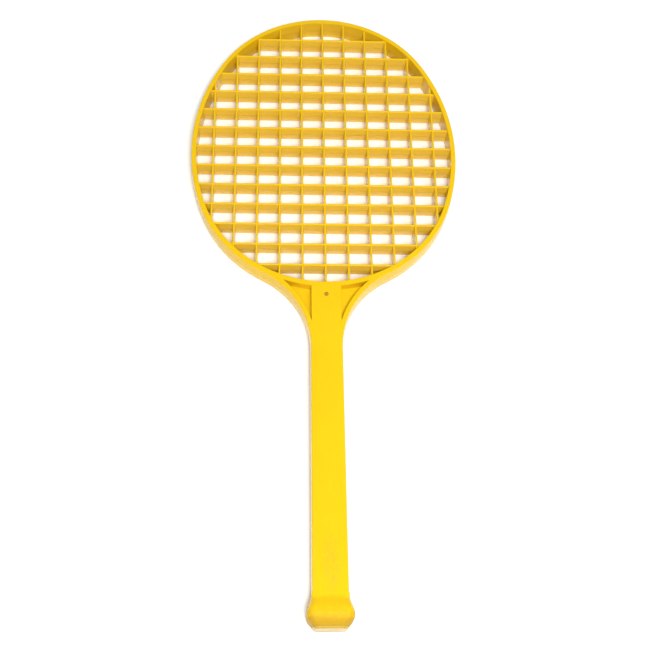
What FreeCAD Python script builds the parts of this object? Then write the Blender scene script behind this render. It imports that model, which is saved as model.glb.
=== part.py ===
"""Plastic racket with a deep square grid, lying flat with its front face up.

Two moulded half shells meet at the joint plane, half way through the racket's depth.
Each shell carries half of the rim, of the grid, of the throat and of the hollow handle.
A butt cap plugs the open end of the handle.

Units are millimetres.  +Y runs towards the head tip and +Z out of the front face.
The origin is at the middle of the bounding box, on the lowest plane of the racket.
"""
import FreeCAD, Part
import math
import os

V = FreeCAD.Vector

# ---------------------------------------------------------------- driving dimensions
OVERALL_LENGTH = 531.1          # head tip to the outside of the butt cap
GRID_PITCH = 18.6               # rib to rib, both ways
RIBS_EACH_SIDE = 5              # ribs beside the middle rib that runs along the racket
RIBS_EACH_END = 6               # ribs above and below the middle cross rib

# The head's outline at the joint plane: tip, flank and bottom arcs, each tangent to the next.
HEAD_HALF_WIDTH = 111.8
FLANK_RADIUS = 171.3
FLANK_DROP = 4.1                # grid centre down to the widest place
TIP_CENTRE_RISE = 32.2          # grid centre up to the centre of the tip arc
BOTTOM_CENTRE_DROP = 23.2       # grid centre down to the centre of the bottom arc
RIM_HALF_DEPTH = 9.3
RIM_WALL = 4.9                  # at the joint plane
RIM_INNER_DRAFT = 0.4
SIDE_DRAFT = 0.55               # the outer walls lean in this much by the edge chamfer
EDGE_CHAMFER = 0.55
EDGE_CHAMFER_DEPTH = 0.7

RIB_HALF_DEPTH = 7.6
RIB_ROOT_HALF_THICKNESS = 1.3   # at the joint plane
RIB_TIP_HALF_THICKNESS = 0.75
RIB_TIP_CHAMFER = 0.25

HANDLE_HALF_WIDTH = 12.9        # at the joint plane, below the throat
HANDLE_END_HALF_WIDTH = 13.6    # where the knob starts to flare
THROAT_RADIUS = 72.0
THROAT_RAIL = 3.1               # wall between a throat pocket and the outside
POCKET_FLOOR = 1.5              # half of the web that closes the throat

HANDLE_WALL = 2.5
CHAMBER_COUNT = 6
CHAMBER_RIB = 1.6
CHAMBER_HALF_WIDTH = 10.4
THROAT_BLOCK = 5.0              # solid plastic between the rim and the first chamber

FLARE_LENGTH = 23.0             # start of the flare to the end face of the knob
KNOB_CORNER = 5.0
CAP_FLANGE = 1.8
CAP_EDGE = 1.6                  # the flange's face is this much narrower all round
PLUG_LENGTH = 12.0
PLUG_WALL = 1.8
PLUG_CLEARANCE = 0.15
PLUG_CORNER = 2.0

PEG_RADIUS = 1.6
PEG_HEIGHT = 3.5
PEG_CLEARANCE = 0.15
BOSS_RADIUS = 3.4

GATE_DROP = 138.4               # grid centre to the gate mark on the handle
GATE_RADIUS = 1.7
GATE_DEPTH = 1.3
GATE_NUB_RADIUS = 0.8
GATE_NUB_HEIGHT = 0.9

# Knob sections: distance past the start of the flare, half width, half depth.
KNOB_SECTIONS = [
    (0.0, HANDLE_END_HALF_WIDTH, RIM_HALF_DEPTH),
    (4.0, 14.1, 9.9),
    (9.0, 15.8, 12.2),
    (13.0, 17.0, 13.0),
    (16.0, 17.2, 12.8),
    (19.0, 16.0, 12.1),
    (21.5, 13.9, 10.9),
    (FLARE_LENGTH, 12.7, 10.0),
]
KNOB_SLICES = 18


def smoothed(sections, slices):
    """Stations on a smooth curve through the sections, first and last included."""
    curve = Part.BSplineCurve()
    curve.interpolate([V(*section) for section in sections])
    start = curve.FirstParameter
    step = (curve.LastParameter - start) / slices
    return [curve.value(start + step * index) for index in range(slices + 1)]


# ---------------------------------------------------------------- derived places
FLANK_OFFSET = FLANK_RADIUS - HEAD_HALF_WIDTH
TIP_RADIUS = FLANK_RADIUS - math.hypot(FLANK_OFFSET, TIP_CENTRE_RISE + FLANK_DROP)
BOTTOM_RADIUS = FLANK_RADIUS - math.hypot(FLANK_OFFSET, BOTTOM_CENTRE_DROP - FLANK_DROP)
HEAD_REACH = TIP_CENTRE_RISE + TIP_RADIUS
GRID_Y = OVERALL_LENGTH / 2 - HEAD_REACH
TIP_CENTRE = V(0, GRID_Y + TIP_CENTRE_RISE, 0)
FLANK_CENTRE = V(-FLANK_OFFSET, GRID_Y - FLANK_DROP, 0)     # of the right flank
BOTTOM_CENTRE = V(0, GRID_Y - BOTTOM_CENTRE_DROP, 0)
RIM_BOTTOM_Y = BOTTOM_CENTRE.y - BOTTOM_RADIUS
THROAT_X = HANDLE_HALF_WIDTH + THROAT_RADIUS
THROAT_DROP = math.sqrt((BOTTOM_RADIUS + THROAT_RADIUS) ** 2 - THROAT_X ** 2)
THROAT_CENTRE = V(THROAT_X, BOTTOM_CENTRE.y - THROAT_DROP, 0)     # of the right throat curve
KNOB_END_Y = -OVERALL_LENGTH / 2 + CAP_FLANGE
FLARE_Y = KNOB_END_Y + FLARE_LENGTH
KNOB_STATIONS = smoothed(KNOB_SECTIONS, KNOB_SLICES)      # x, y, z hold past, width, depth
JOINT_Z = max(station.z for station in KNOB_STATIONS)
CHAMBER_DEPTH = RIM_HALF_DEPTH - HANDLE_WALL
CHAMBER_TOP_Y = RIM_BOTTOM_Y - THROAT_BLOCK
CHAMBER_PITCH = (CHAMBER_TOP_Y - FLARE_Y) / CHAMBER_COUNT
FAR = 400.0                     # larger than any tool solid needs


# ---------------------------------------------------------------- outlines
def mirror_x(point):
    return V(-point.x, point.y, point.z)


def point_towards(centre, target, distance):
    """The point at this distance from the centre, on the line through the target."""
    return centre + (target - centre).normalize() * distance


def arc(centre, start, end):
    """The shorter arc from start to end about a centre."""
    middle = point_towards(centre, (start + end) / 2, start.distanceToPoint(centre))
    return Part.Arc(start, middle, end).toShape()


def upper_head_edges(grow, start):
    """Outline from a point on the bottom arc, over the tip, to that point's mirror image."""
    low = point_towards(FLANK_CENTRE, BOTTOM_CENTRE, FLANK_RADIUS + grow)
    high = point_towards(FLANK_CENTRE, TIP_CENTRE, FLANK_RADIUS + grow)
    return [
        arc(BOTTOM_CENTRE, start, low),
        arc(FLANK_CENTRE, low, high),
        arc(TIP_CENTRE, high, mirror_x(high)),
        arc(mirror_x(FLANK_CENTRE), mirror_x(high), mirror_x(low)),
        arc(BOTTOM_CENTRE, mirror_x(low), mirror_x(start)),
    ]


def throat_touch(grow):
    """Where the right throat curve meets the head's bottom arc."""
    return point_towards(BOTTOM_CENTRE, THROAT_CENTRE, BOTTOM_RADIUS + grow)


def racket_outline(grow, z):
    """Closed outline of head, throat and handle down to the flare, moved out by grow."""
    touch = throat_touch(grow)
    handle_top = V(HANDLE_HALF_WIDTH + grow, THROAT_CENTRE.y, 0)
    handle_end = V(HANDLE_END_HALF_WIDTH + grow, FLARE_Y, 0)
    edges = upper_head_edges(grow, touch) + [
        arc(mirror_x(THROAT_CENTRE), mirror_x(touch), mirror_x(handle_top)),
        Part.makeLine(mirror_x(handle_top), mirror_x(handle_end)),
        Part.makeLine(mirror_x(handle_end), handle_end),
        Part.makeLine(handle_end, handle_top),
        arc(THROAT_CENTRE, handle_top, touch),
    ]
    wire = Part.Wire(edges)
    wire.translate(V(0, 0, z))
    return wire


def head_outline(grow, z):
    """Closed outline of the head alone, moved out by grow."""
    touch = throat_touch(grow)
    edges = upper_head_edges(grow, touch) + [arc(BOTTOM_CENTRE, mirror_x(touch), touch)]
    wire = Part.Wire(edges)
    wire.translate(V(0, 0, z))
    return wire


def rounded_section(y, half_width, half_depth, corner):
    """A rounded rectangle across the handle, in the plane at y."""
    corners = [(1, 1), (-1, 1), (-1, -1), (1, -1)]
    edges = []
    previous = None
    first = None
    for index, (side_x, side_z) in enumerate(corners):
        middle = V(side_x * (half_width - corner), y, side_z * (half_depth - corner))
        along_x = V(side_x * corner, 0, 0)
        along_z = V(0, 0, side_z * corner)
        start, end = (along_x, along_z) if index % 2 == 0 else (along_z, along_x)
        diagonal = (along_x + along_z) * math.sqrt(0.5)
        if previous is None:
            first = middle + start
        else:
            edges.append(Part.makeLine(previous, middle + start))
        edges.append(Part.Arc(middle + start, middle + diagonal, middle + end).toShape())
        previous = middle + end
    edges.append(Part.makeLine(previous, first))
    return Part.Wire(edges)


# ---------------------------------------------------------------- features of one shell
def shell_blank():
    """Solid head, throat and handle, drafted, with a chamfer round the face."""
    levels = [
        (0.0, 0.0),
        (-SIDE_DRAFT, RIM_HALF_DEPTH - EDGE_CHAMFER_DEPTH),
        (-SIDE_DRAFT - EDGE_CHAMFER, RIM_HALF_DEPTH),
    ]
    return Part.makeLoft([racket_outline(grow, z) for grow, z in levels], True, True)


def head_opening():
    """The space inside the rim, which opens slightly towards the face."""
    levels = [(-RIM_WALL, 0.0), (RIM_INNER_DRAFT - RIM_WALL, RIM_HALF_DEPTH)]
    return Part.makeLoft([head_outline(grow, z) for grow, z in levels], True, True)


def rib(length_half):
    """One grid rib along X: widest at the joint plane, with a narrow face edge."""
    tip_flat = RIB_TIP_HALF_THICKNESS - RIB_TIP_CHAMFER
    profile = [
        V(-length_half, -RIB_ROOT_HALF_THICKNESS, 0),
        V(-length_half, RIB_ROOT_HALF_THICKNESS, 0),
        V(-length_half, RIB_TIP_HALF_THICKNESS, RIB_HALF_DEPTH - RIB_TIP_CHAMFER),
        V(-length_half, tip_flat, RIB_HALF_DEPTH),
        V(-length_half, -tip_flat, RIB_HALF_DEPTH),
        V(-length_half, -RIB_TIP_HALF_THICKNESS, RIB_HALF_DEPTH - RIB_TIP_CHAMFER),
    ]
    face = Part.Face(Part.makePolygon(profile + profile[:1]))
    return face.extrude(V(2 * length_half, 0, 0))


def grid():
    """Every rib of one half grid, trimmed to end inside the rim's wall."""
    ribs = []
    for row in range(-RIBS_EACH_END, RIBS_EACH_END + 1):
        cross_rib = rib(HEAD_HALF_WIDTH)
        cross_rib.translate(V(0, GRID_Y + row * GRID_PITCH, 0))
        ribs.append(cross_rib)
    for column in range(-RIBS_EACH_SIDE, RIBS_EACH_SIDE + 1):
        long_rib = rib(HEAD_REACH)
        long_rib.rotate(V(0, 0, 0), V(0, 0, 1), 90)
        long_rib.translate(V(column * GRID_PITCH, GRID_Y, 0))
        ribs.append(long_rib)
    trim = Part.Face(head_outline(-RIM_WALL / 2, 0)).extrude(V(0, 0, RIM_HALF_DEPTH))
    return ribs[0].fuse(ribs[1:]).common(trim)


def throat_pocket():
    """The recess beside the handle, between the rim and the right throat rail."""
    inset = SIDE_DRAFT + EDGE_CHAMFER
    depth = RIM_HALF_DEPTH - POCKET_FLOOR
    inner_x = HANDLE_HALF_WIDTH - inset
    width = throat_touch(-inset).x - inner_x
    block = Part.makeBox(width, FAR, depth, V(inner_x, THROAT_CENTRE.y, POCKET_FLOOR))
    head = Part.Face(head_outline(-SIDE_DRAFT, 0)).extrude(V(0, 0, FAR))
    rail = Part.makeCylinder(THROAT_RADIUS + inset + THROAT_RAIL, FAR, THROAT_CENTRE)
    pieces = block.cut([head, rail]).Solids
    return min(pieces, key=lambda solid: solid.CenterOfMass.y)


def chambers():
    """The handle's hollow, split by stiffening ribs; the last one takes the plug."""
    width = 2 * CHAMBER_HALF_WIDTH
    length = CHAMBER_PITCH - CHAMBER_RIB
    boxes = []
    for index in range(CHAMBER_COUNT):
        start = V(-CHAMBER_HALF_WIDTH, FLARE_Y + index * CHAMBER_PITCH + CHAMBER_RIB, 0)
        boxes.append(Part.makeBox(width, length, CHAMBER_DEPTH, start))
    start = V(-CHAMBER_HALF_WIDTH, KNOB_END_Y, 0)
    boxes.append(Part.makeBox(width, FLARE_LENGTH, CHAMBER_DEPTH, start))
    return boxes


def boss_places():
    """Middles of the first, middle and last chambers of the handle."""
    indices = (0, CHAMBER_COUNT // 2, CHAMBER_COUNT - 1)
    return [FLARE_Y + (index + 0.5) * CHAMBER_PITCH for index in indices]


def knob():
    """The flared end of the handle, front half only."""
    wires = [
        rounded_section(FLARE_Y - station.x, station.y, station.z, min(KNOB_CORNER, 1.0 + station.x))
        for station in KNOB_STATIONS
    ]
    whole = Part.makeLoft(wires, True, True)
    upper_half = Part.makeBox(2 * FAR, 2 * FAR, FAR, V(-FAR, -FAR, 0))
    return whole.common(upper_half)


def half_shell():
    """One shell with its face up and its joint plane at z = 0."""
    body = shell_blank().fuse(knob())
    body = body.cut([head_opening(), throat_pocket(), throat_pocket().mirror(V(), V(1, 0, 0))])
    body = body.cut(chambers())
    bosses = [
        Part.makeCylinder(BOSS_RADIUS, CHAMBER_DEPTH + HANDLE_WALL / 2, V(0, y, 0))
        for y in boss_places()
    ]
    return body.fuse([grid()] + bosses)


# ---------------------------------------------------------------- the pieces
def front_shell():
    """The upper shell: sockets in its bosses and the gate mark on its handle."""
    shell = half_shell()
    sockets = [
        Part.makeCylinder(PEG_RADIUS + PEG_CLEARANCE, PEG_HEIGHT + PEG_CLEARANCE, V(0, y, 0))
        for y in boss_places()
    ]
    gate = V(0, GRID_Y - GATE_DROP, RIM_HALF_DEPTH - GATE_DEPTH)
    dimple = Part.makeCylinder(GATE_RADIUS, RIM_HALF_DEPTH, gate)
    nub = Part.makeCylinder(GATE_NUB_RADIUS, GATE_NUB_HEIGHT, gate)
    shell = shell.cut(sockets + [dimple]).fuse(nub)
    shell.translate(V(0, 0, JOINT_Z))
    return shell


def rear_shell():
    """The lower shell: the same moulding turned over, with pegs on its bosses."""
    shell = half_shell().mirror(V(), V(0, 0, 1))
    pegs = [Part.makeCylinder(PEG_RADIUS, PEG_HEIGHT, V(0, y, 0)) for y in boss_places()]
    shell = shell.fuse(pegs)
    shell.translate(V(0, 0, JOINT_Z))
    return shell


def butt_cap():
    """Flange over the knob's end face and a hollow plug inside the handle."""
    _, end_width, end_depth = KNOB_SECTIONS[-1]
    rim_y = KNOB_END_Y - CAP_FLANGE / 2
    face_width = end_width - CAP_EDGE
    face_depth = end_depth - CAP_EDGE
    sections = [
        rounded_section(KNOB_END_Y, end_width, end_depth, KNOB_CORNER),
        rounded_section(rim_y, end_width, end_depth, KNOB_CORNER),
        rounded_section(KNOB_END_Y - CAP_FLANGE, face_width, face_depth, KNOB_CORNER - CAP_EDGE),
    ]
    flange = Part.makeLoft(sections, True, True)
    plug_width = CHAMBER_HALF_WIDTH - PLUG_CLEARANCE
    plug_depth = CHAMBER_DEPTH - PLUG_CLEARANCE
    outside = Part.Face(rounded_section(KNOB_END_Y, plug_width, plug_depth, PLUG_CORNER))
    inner = rounded_section(KNOB_END_Y, plug_width - PLUG_WALL, plug_depth - PLUG_WALL, PLUG_CORNER / 2)
    plug = outside.extrude(V(0, PLUG_LENGTH, 0))
    hollow = Part.Face(inner).extrude(V(0, PLUG_LENGTH, 0))
    cap = flange.fuse(plug.cut(hollow))
    cap.translate(V(0, 0, JOINT_Z))
    return cap


PIECES = {
    "front_shell": front_shell,
    "rear_shell": rear_shell,
    "butt_cap": butt_cap,
}


def main():
    os.makedirs("parts", exist_ok=True)
    for node, make in PIECES.items():
        shape = make().removeSplitter()
        solids = shape.Solids
        assert len(solids) == 1 and solids[0].isValid(), node
        solids[0].exportStep(f"parts/{node}.step")
        box = solids[0].BoundBox
        print(f"{node}: {solids[0].Volume / 1000:.1f} cm3, {len(solids[0].Faces)} faces, "
              f"x {box.XMin:.1f} {box.XMax:.1f}, y {box.YMin:.1f} {box.YMax:.1f}, "
              f"z {box.ZMin:.1f} {box.ZMax:.1f}")


main()
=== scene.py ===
"""Looks of the moulded plastic racket: camera, pale table, soft light and the plastic itself."""
import math

import bpy
from mathutils import Matrix, Vector

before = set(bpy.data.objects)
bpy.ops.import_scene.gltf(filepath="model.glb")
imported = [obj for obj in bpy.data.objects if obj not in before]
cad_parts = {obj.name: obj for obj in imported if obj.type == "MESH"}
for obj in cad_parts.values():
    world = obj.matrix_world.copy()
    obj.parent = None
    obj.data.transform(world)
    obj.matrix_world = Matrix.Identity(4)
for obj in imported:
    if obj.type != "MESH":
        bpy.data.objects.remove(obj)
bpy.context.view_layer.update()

# ---------------------------------------------------------------- camera
CAMERA_AIM = Vector((-0.0009, -0.0296, 0.013))
CAMERA_DISTANCE = 0.8816
CAMERA_ELEVATION = math.radians(65.59)
CAMERA_AZIMUTH = math.radians(-6.90)     # from the butt's side towards +X
CAMERA_ROLL = math.radians(6.76)
CAMERA_LENS = 61.7
SENSOR_WIDTH = 36.0
VIEW_REACH = 50.0

# ---------------------------------------------------------------- table and light
TABLE_SIZE = 6.0
TABLE_GAP = 0.00002                      # below the contact points, so that nothing is cut
TABLE_WHITE = (0.90, 0.895, 0.885, 1)
# painted shade: the grey of faint clouds that stand in for uneven light falloff on the board
TABLE_PAINTED_SHADE_GREY = (0.84, 0.835, 0.825, 1)
KEY_POWER = 4.0
KEY_SIZE = 0.45
KEY_PLACE = Vector((0.60, 0.05, 1.30))
OVERHEAD_POWER = 2.0
OVERHEAD_SIZE = 1.4
OVERHEAD_PLACE = Vector((0.05, 0.10, 1.50))
FRONT_POWER = 22.5
FRONT_SIZE = 0.5
FRONT_PLACE = Vector((0.05, -0.66, 1.26))
LAMP_AIM = Vector((0, 0.05, 0))
FILL_STRENGTH = 0.33

# ---------------------------------------------------------------- plastic
# Scales are features per metre.  A stretch is a scale for each axis.
# Noise lies mostly between 0.3 and 0.7, and each mask stretches the part of it that it needs.
SHELL_TONES = ((0.68, 0.432, 0.007, 1), (0.72, 0.458, 0.008, 1))
# painted shade and painted reflection: the cap is the shells' plastic, darkened for its shaded end
# and given more blue for reflected white light
CAP_SHADE_AND_REFLECTION_TONES = ((0.46, 0.300, 0.045, 1), (0.50, 0.328, 0.055, 1))
SPECULAR_TINT = (1.0, 0.7, 0.05, 1)
GLOW_RADIUS = (1.0, 0.75, 0.10)          # how far red, green and blue light spread inside
GLOW_SCALE = 0.0030
GLOW_WEIGHT = 0.3
PLASTIC_IOR = 1.54

MOTTLE_SCALE = 14.0
FLOW_STRETCH = (70.0, 9.0, 70.0)         # flow lines run along the racket
FLOW_STRENGTH = 0.35
SCRATCH_STRETCH = (1500.0, 45.0, 1500.0)
SCRATCH_ROUGHNESS = 0.10
POLISH_SCALE = 40.0
POLISH_ROUGHNESS = (0.17, 0.27)
EDGE_SOFTNESS = 0.00035
RIPPLE_SCALE = 28.0
GRAIN_SCALE = 1300.0
RIPPLE_DEPTH, GRAIN_DEPTH, SCRATCH_DEPTH = 0.0006, 0.00006, 0.00003
RIPPLE_BUMP, GRAIN_BUMP, SCRATCH_BUMP = 0.35, 0.30, 0.25

SCUFF_TONE = (0.48, 0.330, 0.035, 1)     # dull worn patch on the lower handle
SCUFF_PLACE = (0.0005, -0.2200, 0.0223)
SCUFF_STRETCH = (120.0, 38.0, 110.0)     # one over its half sizes
SCUFF_SCALE = 420.0
SCUFF_STRENGTH = 0.55
SCUFF_ROUGHNESS = 0.2

BUTT_DARKER_TONE = (0.43, 0.250, 0.018, 1)   # darker towards the butt end
BUTT_DARKER_FROM, BUTT_DARKER_TO = -0.2510, -0.2600
BUTT_EDGE_SCALE = 160.0                    # of the ragged line where it starts
BUTT_EDGE_WANDER = 0.002
BUTT_DARKER_STRENGTH = 0.9
BUTT_ROUGHNESS = 0.35

RIB_PAINTED_GLOW_TONE = (0.79, 0.525, 0.052, 1)       # painted light: rib walls made paler by their facing direction, standing in for light coming through the thin plastic
RIB_GLOW_STRENGTH = 0.9
HEAD_CENTRE = (0, 0.1319, 0)
HEAD_STRETCH = (1 / 0.1085, 1 / 0.1300, 0)   # one over the half sizes of the rim's opening

GATE_PLACE = (0, -0.00655, 0.0209)       # floor of the gate mark on the handle
GATE_REACH, GATE_EDGE = 0.0019, 0.0003
GATE_TONE = (0.42, 0.20, 0.03, 1)
GATE_STRENGTH = 0.85


class Graph:
    """Short-hand for building one material's node tree."""

    def __init__(self, name):
        self.material = bpy.data.materials.new(name)
        self.material.use_nodes = True
        self.tree = self.material.node_tree
        self.shader = self.tree.nodes["Principled BSDF"]
        coordinates = self.add("ShaderNodeTexCoord")
        self.place = coordinates.outputs["Object"]
        self.facing = coordinates.outputs["Normal"]

    def add(self, kind, settings=None, **inputs):
        node = self.tree.nodes.new(kind)
        for key, value in (settings or {}).items():
            setattr(node, key, value)
        for key, value in inputs.items():
            self.join(node.inputs[key.replace("_", " ")], value)
        return node

    def join(self, socket, value):
        if isinstance(value, bpy.types.NodeSocket):
            self.tree.links.new(value, socket)
        else:
            socket.default_value = value

    def stretched(self, scale, shift=(0, 0, 0)):
        """Object coordinates, moved and then scaled along each axis."""
        moved = self.add("ShaderNodeVectorMath", {"operation": "SUBTRACT"})
        self.join(moved.inputs[0], self.place)
        self.join(moved.inputs[1], shift)
        scaled = self.add("ShaderNodeVectorMath", {"operation": "MULTIPLY"})
        self.join(scaled.inputs[0], moved.outputs[0])
        self.join(scaled.inputs[1], scale)
        return scaled.outputs[0]

    def distance(self, scale, centre):
        """Distance from a centre, in units of one over the scale."""
        node = self.add("ShaderNodeVectorMath", {"operation": "LENGTH"})
        self.join(node.inputs[0], self.stretched(scale, centre))
        return node.outputs["Value"]

    def noise(self, scale, detail=3.0, vector=None):
        node = self.add("ShaderNodeTexNoise", Scale=scale, Detail=detail, Vector=vector or self.place)
        return node.outputs["Fac"]

    def remap(self, value, low, high, to_low, to_high):
        node = self.add("ShaderNodeMapRange")
        for key, item in zip(("Value", "From Min", "From Max", "To Min", "To Max"),
                             (value, low, high, to_low, to_high)):
            self.join(node.inputs[key], item)
        return node.outputs["Result"]

    def maths(self, operation, *values):
        node = self.add("ShaderNodeMath", {"operation": operation})
        for socket, value in zip(node.inputs, values):
            self.join(socket, value)
        return node.outputs[0]

    def raised(self, value, mask, amount):
        """The value plus the mask times an amount."""
        return self.maths("ADD", value, self.maths("MULTIPLY", mask, amount))

    def mix(self, factor, first, second):
        node = self.add("ShaderNodeMix", {"data_type": "RGBA"})
        self.join(node.inputs[0], factor)
        self.join(node.inputs[6], first)
        self.join(node.inputs[7], second)
        return node.outputs[2]

    def bump(self, height, distance, strength, normal=None):
        node = self.add("ShaderNodeBump", Height=height, Distance=distance, Strength=strength)
        if normal is not None:
            self.join(node.inputs["Normal"], normal)
        return node.outputs["Normal"]


def painted_rib_glow(graph, colour):
    """Painted light: paler walls on the thin ribs inside the rim, picked by their facing direction.
    """
    upward = graph.add("ShaderNodeSeparateXYZ", Vector=graph.facing).outputs["Z"]
    glow_mask = graph.remap(graph.maths("ABSOLUTE", upward), 0.2, 0.8, RIB_GLOW_STRENGTH, 0.0)
    inside = graph.remap(graph.distance(HEAD_STRETCH, HEAD_CENTRE), 0.98, 1.0, 1.0, 0.0)
    return graph.mix(graph.maths("MULTIPLY", glow_mask, inside), colour, RIB_PAINTED_GLOW_TONE)


def worn_patch(graph, colour, roughness):
    """Dull scuffs in a soft-edged patch low on the handle."""
    near = graph.remap(graph.distance(SCUFF_STRETCH, SCUFF_PLACE), 0.35, 1.0, 1.0, 0.0)
    patches = graph.remap(graph.noise(SCUFF_SCALE), 0.42, 0.62, 0.0, SCUFF_STRENGTH)
    scuff = graph.maths("MULTIPLY", near, patches)
    return graph.mix(scuff, colour, SCUFF_TONE), graph.raised(roughness, scuff, SCUFF_ROUGHNESS)


def darker_butt_end(graph, colour, roughness):
    """A darker and rougher knob, starting at a ragged line."""
    along = graph.add("ShaderNodeSeparateXYZ", Vector=graph.place).outputs["Y"]
    wander = graph.remap(graph.noise(BUTT_EDGE_SCALE), 0.3, 0.7, -BUTT_EDGE_WANDER, BUTT_EDGE_WANDER)
    ragged = graph.maths("ADD", along, wander)
    butt_darkening = graph.remap(ragged, BUTT_DARKER_FROM, BUTT_DARKER_TO, 0.0, BUTT_DARKER_STRENGTH)
    return graph.mix(butt_darkening, colour, BUTT_DARKER_TONE), graph.raised(roughness, butt_darkening, BUTT_ROUGHNESS)


def gate_mark(graph, colour):
    """Brown tint on the floor of the gate mark."""
    reach = graph.distance((1, 1, 1), GATE_PLACE)
    mark = graph.remap(reach, GATE_REACH, GATE_REACH + GATE_EDGE, GATE_STRENGTH, 0.0)
    return graph.mix(mark, colour, GATE_TONE)


def relief(graph, scratches):
    """Softened edges, slow ripples, fine grain and scratches, as a normal."""
    normal = graph.add("ShaderNodeBevel", {"samples": 4}, Radius=EDGE_SOFTNESS).outputs[0]
    normal = graph.bump(graph.noise(RIPPLE_SCALE, 2.0), RIPPLE_DEPTH, RIPPLE_BUMP, normal)
    normal = graph.bump(graph.noise(GRAIN_SCALE, 2.0), GRAIN_DEPTH, GRAIN_BUMP, normal)
    return graph.bump(scratches, SCRATCH_DEPTH, SCRATCH_BUMP, normal)


def plastic(name, tones, wear_and_painted_glow):
    """Through-coloured satin polyethylene: mottled tone, flow lines, fine grain, soft edges."""
    graph = Graph(name)
    mottle = graph.remap(graph.noise(MOTTLE_SCALE, 4.0), 0.35, 0.65, 0.0, 1.0)
    flow = graph.noise(1.0, 5.0, graph.stretched(FLOW_STRETCH))
    flow = graph.remap(flow, 0.52, 0.72, 0.0, FLOW_STRENGTH)
    colour = graph.mix(flow, graph.mix(mottle, *tones), tones[1])
    scratches = graph.noise(1.0, 6.0, graph.stretched(SCRATCH_STRETCH))
    scratches = graph.remap(scratches, 0.62, 0.70, 0.0, 1.0)
    polish = graph.remap(graph.noise(POLISH_SCALE), 0.3, 0.7, *POLISH_ROUGHNESS)
    roughness = graph.raised(polish, scratches, SCRATCH_ROUGHNESS)
    # wear, a painted glow on the rib walls, a darker butt end and a tinted gate mark
    if wear_and_painted_glow:
        colour = painted_rib_glow(graph, colour)
        colour, roughness = worn_patch(graph, colour, roughness)
        colour, roughness = darker_butt_end(graph, colour, roughness)
        colour = gate_mark(graph, colour)
    inputs = graph.shader.inputs
    graph.join(inputs["Base Color"], colour)
    graph.join(inputs["Roughness"], roughness)
    graph.join(inputs["Normal"], relief(graph, scratches))
    inputs["IOR"].default_value = PLASTIC_IOR
    inputs["Specular Tint"].default_value = SPECULAR_TINT
    inputs["Subsurface Weight"].default_value = GLOW_WEIGHT
    inputs["Subsurface Radius"].default_value = GLOW_RADIUS
    inputs["Subsurface Scale"].default_value = GLOW_SCALE
    return graph.material


def dress(node, material):
    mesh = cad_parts[node].data
    mesh.materials.clear()
    mesh.materials.append(material)


# ---------------------------------------------------------------- the room
def make_camera():
    data = bpy.data.cameras.new("camera")
    data.lens = CAMERA_LENS
    data.sensor_width = SENSOR_WIDTH
    data.clip_end = VIEW_REACH
    camera = bpy.data.objects.new("camera", data)
    bpy.context.scene.collection.objects.link(camera)
    out = Vector((
        math.sin(CAMERA_AZIMUTH) * math.cos(CAMERA_ELEVATION),
        -math.cos(CAMERA_AZIMUTH) * math.cos(CAMERA_ELEVATION),
        math.sin(CAMERA_ELEVATION),
    ))
    turn = (-out).to_track_quat("-Z", "Y").to_matrix().to_4x4()
    roll = Matrix.Rotation(CAMERA_ROLL, 4, "Z")
    camera.matrix_world = Matrix.Translation(CAMERA_AIM + out * CAMERA_DISTANCE) @ turn @ roll
    bpy.context.scene.camera = camera


def table_material():
    """Matt white board with faint grey clouds of painted shade and a fine tooth."""
    graph = Graph("white_board")
    # painted shade: grey clouds standing in for uneven light falloff
    painted_shade_clouds = graph.remap(graph.noise(2.2), 0.3, 0.7, 0.0, 0.35)
    inputs = graph.shader.inputs
    graph.join(inputs["Base Color"], graph.mix(painted_shade_clouds, TABLE_WHITE, TABLE_PAINTED_SHADE_GREY))
    graph.join(inputs["Roughness"], graph.remap(graph.noise(60.0), 0.3, 0.7, 0.55, 0.70))
    graph.join(inputs["Normal"], graph.bump(graph.noise(900.0), 0.00004, 0.3))
    return graph.material


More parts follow.
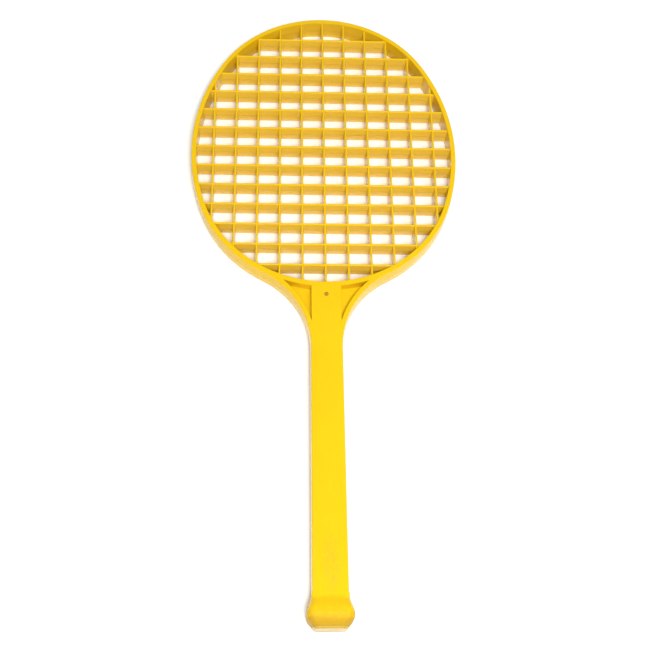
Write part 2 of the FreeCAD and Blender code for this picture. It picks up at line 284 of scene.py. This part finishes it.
def resting_line():
    """Where a straight edge laid under the rear shell touches the knob, and its rise per metre."""
    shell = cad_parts["rear_shell"]
    points = [shell.matrix_world @ vertex.co for vertex in shell.data.vertices]
    rise = 0.0
    for _ in range(4):
        knob = min((p for p in points if p.y < 0), key=lambda p: p.z - rise * p.y)
        rim = min((p for p in points if p.y > 0), key=lambda p: p.z - rise * p.y)
        rise = (rim.z - knob.z) / (rim.y - knob.y)
    return knob, rise


def make_table():
    """A pale table top that touches the knob and the far end of the rim."""
    knob, rise = resting_line()
    mesh = bpy.data.meshes.new("table")
    half = TABLE_SIZE / 2
    corners = [(-half, -half, 0), (half, -half, 0), (half, half, 0), (-half, half, 0)]
    mesh.from_pydata(corners, [], [(0, 1, 2, 3)])
    table = bpy.data.objects.new("table", mesh)
    bpy.context.scene.collection.objects.link(table)
    contact = Vector((0, knob.y, knob.z - TABLE_GAP))
    table.matrix_world = Matrix.Translation(contact) @ Matrix.Rotation(math.atan(rise), 4, "X")
    mesh.materials.append(table_material())


def add_lamp(name, place, size, power):
    data = bpy.data.lights.new(name, "AREA")
    data.shape = "DISK"
    data.size = size
    data.energy = power
    lamp = bpy.data.objects.new(name, data)
    bpy.context.scene.collection.objects.link(lamp)
    turn = (LAMP_AIM - place).to_track_quat("-Z", "Y").to_matrix().to_4x4()
    lamp.matrix_world = Matrix.Translation(place) @ turn


def make_lights():
    world = bpy.data.worlds.new("studio")
    bpy.context.scene.world = world
    world.use_nodes = True
    background = world.node_tree.nodes["Background"]
    background.inputs["Color"].default_value = (1, 1, 1, 1)
    background.inputs["Strength"].default_value = FILL_STRENGTH
    add_lamp("key", KEY_PLACE, KEY_SIZE, KEY_POWER)
    add_lamp("overhead", OVERHEAD_PLACE, OVERHEAD_SIZE, OVERHEAD_POWER)
    add_lamp("front", FRONT_PLACE, FRONT_SIZE, FRONT_POWER)


make_camera()
make_table()
make_lights()
shell_plastic = plastic("shell_plastic", SHELL_TONES, wear_and_painted_glow=True)
dress("front_shell", shell_plastic)
dress("rear_shell", shell_plastic)
# the cap's tones carry painted shade and a painted reflection
dress("butt_cap", plastic("cap_plastic", CAP_SHADE_AND_REFLECTION_TONES, wear_and_painted_glow=False))

bpy.context.scene.view_settings.view_transform = "Standard"
